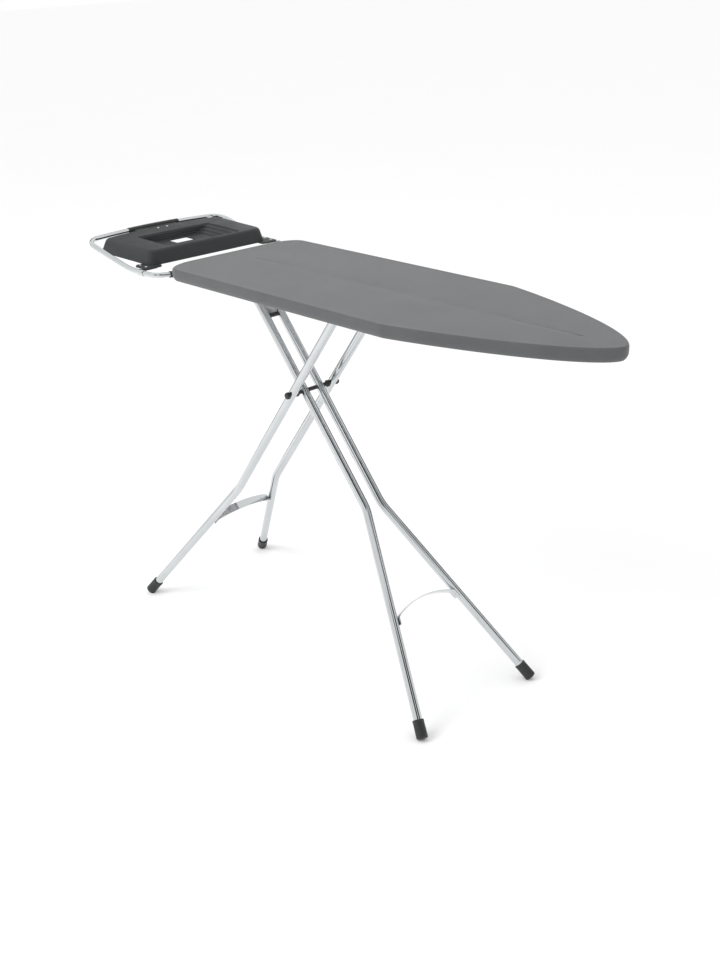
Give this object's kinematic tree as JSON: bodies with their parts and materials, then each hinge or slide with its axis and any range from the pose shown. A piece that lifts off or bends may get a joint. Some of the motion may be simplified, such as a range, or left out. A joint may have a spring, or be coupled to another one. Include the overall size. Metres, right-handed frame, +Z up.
{
  "type": "folding ironing board",
  "caption": "Folding ironing board: fabric covered padded steel deck with a tapered nose, crossed splayed tube legs, and a hooped iron rest tray at the tail.",
  "frame": {"origin": "on the floor under the middle of the whole object's box", "axes": "+Z up, +X towards the nose of the deck, -X towards the tail with the iron rest, Y across, y = 0 the middle plane"},
  "size_m": [1.5597, 0.4426, 0.9865],
  "materials": {
    "cover_fabric": "matt woven cotton, mid grey",
    "elastic": "matt",
    "pad_foam": "soft matt foam felt",
    "deck_steel": "satin light grey powder coat",
    "plated_steel": "satin zinc plate",
    "chrome": "bright chrome plate",
    "tray_plastic": "satin moulded plastic, charcoal",
    "black_plastic": "satin moulded plastic, black"
  },
  "bodies": {
    "board": {"fabric_cover": "cover_fabric", "cover_elastic": "elastic", "foam_pad": "pad_foam", "deck_plate": "deck_steel", "deck_rim": "deck_steel", "tail_cross_member": "deck_steel", "mid_cross_member": "deck_steel", "nose_cross_member": "deck_steel", "track_left": "deck_steel", "track_right": "deck_steel", "tail_hinge_bracket": "deck_steel", "tail_hinge_axle": "plated_steel", "lever_spring": "plated_steel", "hoop_tube": "chrome", "hoop_clamps": "plated_steel", "clamp_screws": "plated_steel", "hoop_sleeves": "black_plastic", "iron_rest_tray": "tray_plastic", "tray_clips": "chrome", "tray_rivets": "plated_steel", "hoop_grip": "black_plastic", "grip_screws": "plated_steel"},
    "height_lever": {"lever_rod": "plated_steel", "lever_comb": "deck_steel", "lever_arm": "deck_steel", "lever_grip": "black_plastic"},
    "inner_legs": {"inner_tube_left": "chrome", "inner_tube_right": "chrome", "inner_strap": "chrome", "inner_strap_rivets": "plated_steel", "inner_cross_plate": "plated_steel", "inner_cross_spacer": "black_plastic", "inner_foot_left": "black_plastic", "inner_foot_right": "black_plastic", "pivot_axle": "plated_steel", "pivot_center_spacer": "black_plastic", "pivot_bushes": "black_plastic", "pivot_caps": "black_plastic", "hinge_spacers": "black_plastic"},
    "outer_legs": {"outer_tube_left": "chrome", "outer_tube_right": "chrome", "outer_strap": "chrome", "outer_strap_rivets": "plated_steel", "outer_foot_left": "black_plastic", "outer_foot_right": "black_plastic", "slide_axle": "plated_steel", "slide_rollers": "black_plastic"}
  },
  "joints": [
    {"name": "leg_fold", "type": "hinge", "parent": "board", "child": "inner_legs", "pos_m": [-0.35246, 0, 0.9185], "axis": [0, -1, 0], "range_deg": [0, 47.6]},
    {"name": "leg_cross", "type": "hinge", "parent": "inner_legs", "child": "outer_legs", "pos_m": [-0.141, 0, 0.6656], "axis": [0, 1, 0], "range_deg": [0, 97.8]},
    {"name": "lever_press", "type": "hinge", "parent": "board", "child": "height_lever", "pos_m": [0.38, -0.05, 0.9385], "axis": [1, 0, 0], "range_deg": [0, 11], "stiffness_Nm_per_rad": 2, "springref_deg": -5.73}
  ],
  "couplings": [
    {"joint": "leg_cross", "follows": "leg_fold", "ratio": 2.0525}
  ]
}
